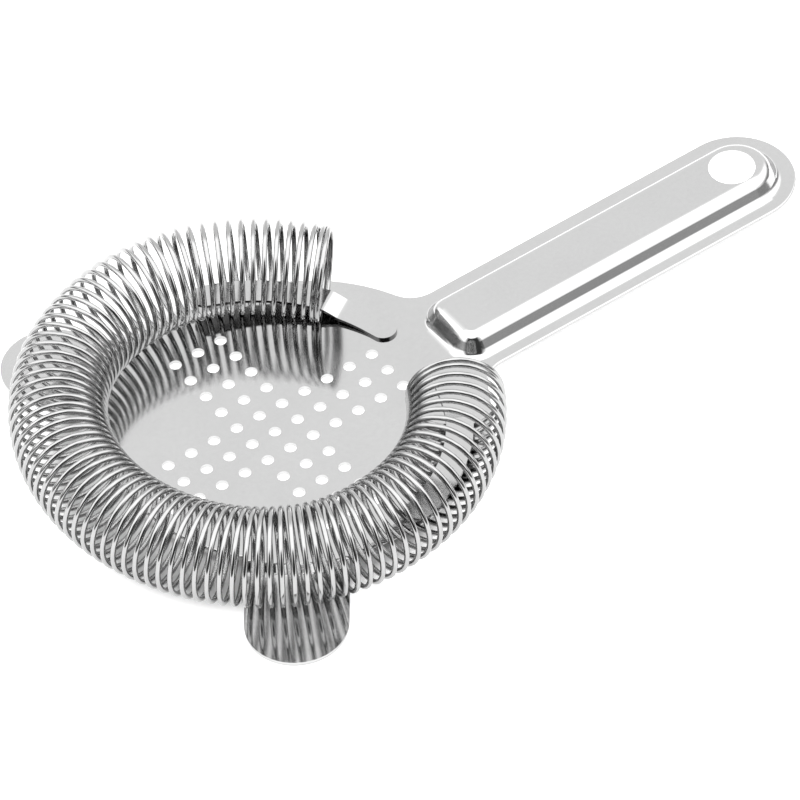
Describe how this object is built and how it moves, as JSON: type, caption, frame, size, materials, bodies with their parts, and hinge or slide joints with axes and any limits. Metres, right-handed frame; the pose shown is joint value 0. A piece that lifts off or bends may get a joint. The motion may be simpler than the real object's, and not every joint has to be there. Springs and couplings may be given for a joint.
{
  "type": "hawthorne strainer",
  "caption": "Cocktail strainer: perforated steel disc with side ears and a ridged handle, ringed by a coil spring held under clips.",
  "frame": {"origin": "on the axis of the mouth that the strainer closes, which is the axis of the coil ring, level with the undersides of the two ears", "axes": "+X along the handle to its tip, +Z towards the side that carries the coil spring, +Y to the left ear"},
  "size_m": [0.1629, 0.0984, 0.0202],
  "materials": {
    "plate_steel": "bright rolled stainless sheet with faint smudges",
    "clip_steel": "bright rolled stainless strip",
    "spring_steel": "polished stainless spring wire"
  },
  "bodies": {
    "plate": {"strainer_plate": "plate_steel", "retaining_clip_left": "clip_steel", "retaining_clip_right": "clip_steel"},
    "spring": {"coil_spring_length_01": "spring_steel", "coil_spring_length_02": "spring_steel", "coil_spring_length_03": "spring_steel", "coil_spring_length_04": "spring_steel", "coil_spring_length_05": "spring_steel", "coil_spring_length_06": "spring_steel", "coil_spring_length_07": "spring_steel", "coil_spring_length_08": "spring_steel", "coil_spring_length_09": "spring_steel", "coil_spring_length_10": "spring_steel", "coil_spring_length_11": "spring_steel", "coil_spring_length_12": "spring_steel"}
  },
  "joints": [
    {"name": "spring_squeeze", "type": "slide", "parent": "plate", "child": "spring", "axis": [1, 0, 0], "range_m": [0, 0.005], "stiffness_N_per_m": 600, "deforming": ["coil_spring_length_01", "coil_spring_length_02", "coil_spring_length_03", "coil_spring_length_04", "coil_spring_length_05", "coil_spring_length_06", "coil_spring_length_07", "coil_spring_length_08", "coil_spring_length_09", "coil_spring_length_10", "coil_spring_length_11", "coil_spring_length_12"]}
  ]
}
